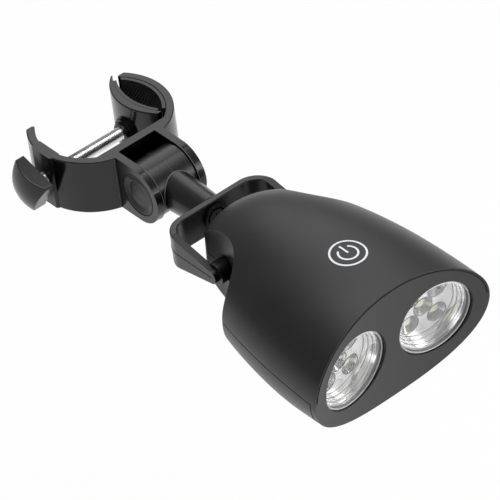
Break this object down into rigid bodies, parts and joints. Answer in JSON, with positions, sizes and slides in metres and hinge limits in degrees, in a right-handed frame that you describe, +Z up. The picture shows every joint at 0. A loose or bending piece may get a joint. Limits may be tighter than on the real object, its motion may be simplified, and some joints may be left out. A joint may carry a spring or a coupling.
{
  "type": "grill light",
  "caption": "Battery grill light with a screw clamp, a folding swivel neck and a wide two-lens lamp head in matte black plastic",
  "frame": {"origin": "centre of the hook's grip arc at mid height, on the axis of a bar held in the clamp", "axes": "+Z up along the axis of the held bar, -Y the direction of the light beam, +X from the thumb knob towards the hook"},
  "size_m": [0.0804, 0.1787, 0.0538],
  "materials": {
    "black_plastic": "fine matte moulded texture",
    "neck_plastic": "satin moulded",
    "yoke_plastic": "satin moulded",
    "shell_plastic": "soft-touch matte",
    "bezel_plastic": "fine matte moulded texture",
    "washer_plastic": "plain moulded",
    "tray_plastic": "plain moulded",
    "rubber": "ribbed matte rubber",
    "zinc_steel": "bright zinc plating",
    "dark_steel": "black oxide",
    "brass": "turned",
    "clear_lens": "clear moulded",
    "reflector": "bright silver-white",
    "led_yellow": "phosphor coating",
    "board_white": "solder mask",
    "board_green": "solder mask",
    "cell_wrap": "plain sleeve",
    "lead_red": "wire insulation"
  },
  "bodies": {
    "clamp": {"clamp_body": "black_plastic", "screw_insert": "brass", "hook_pad": "rubber", "left_pivot_plug": "black_plastic", "right_pivot_plug": "black_plastic", "left_friction_washer": "washer_plastic", "right_friction_washer": "washer_plastic", "pivot_screw": "zinc_steel"},
    "jaw": {"jaw_block": "black_plastic", "jaw_pad": "rubber", "jaw_collar": "black_plastic"},
    "screw": {"clamp_screw": "zinc_steel", "thumb_knob": "black_plastic"},
    "knuckle": {"knuckle": "neck_plastic", "swivel_screw": "dark_steel", "swivel_washer": "dark_steel"},
    "yoke": {"yoke": "yoke_plastic"},
    "head": {"upper_shell": "shell_plastic", "tongue_cap": "shell_plastic", "front_bezel": "bezel_plastic", "left_lens": "clear_lens", "right_lens": "clear_lens", "left_lens_seal": "rubber", "right_lens_seal": "rubber", "left_reflector": "reflector", "right_reflector": "reflector", "left_leds": "led_yellow", "right_leds": "led_yellow", "left_led_board": "board_white", "right_led_board": "board_white", "tilt_pins": "zinc_steel", "left_tilt_washer": "washer_plastic", "right_tilt_washer": "washer_plastic", "battery_tray": "tray_plastic", "battery_cells": "cell_wrap", "battery_contacts": "zinc_steel", "battery_springs": "zinc_steel", "control_board": "board_green", "control_chip": "tray_plastic", "touch_pad": "brass", "touch_post": "rubber", "lamp_leads": "lead_red", "case_screws": "dark_steel"},
    "cover": {"battery_cover": "shell_plastic"}
  },
  "joints": [
    {"name": "jaw_slide", "type": "slide", "parent": "clamp", "child": "jaw", "axis": [1, 0, 0], "range_m": [-0.0281, 0]},
    {"name": "screw_turn", "type": "hinge", "parent": "jaw", "child": "screw", "pos_m": [0, -0.0006, 0], "axis": [1, 0, 0], "range_deg": [-12660, 0]},
    {"name": "neck_tilt", "type": "hinge", "parent": "clamp", "child": "knuckle", "pos_m": [-0.0038, -0.0334, 0], "axis": [1, 0, 0], "range_deg": [-90, 90]},
    {"name": "yoke_swivel", "type": "hinge", "parent": "knuckle", "child": "yoke", "pos_m": [-0.0038, -0.0605, 0], "axis": [0, 1, 0], "continuous": true},
    {"name": "head_tilt", "type": "hinge", "parent": "yoke", "child": "head", "pos_m": [-0.0038, -0.0879, 0], "axis": [1, 0, 0], "range_deg": [-60, 60]},
    {"name": "battery_cover_pull", "type": "slide", "parent": "head", "child": "cover", "axis": [0, 0.1045, -0.9945], "range_m": [0, 0.025]}
  ],
  "couplings": [
    {"joint": "screw_turn", "follows": "jaw_slide", "rad_per_m": 7854}
  ]
}
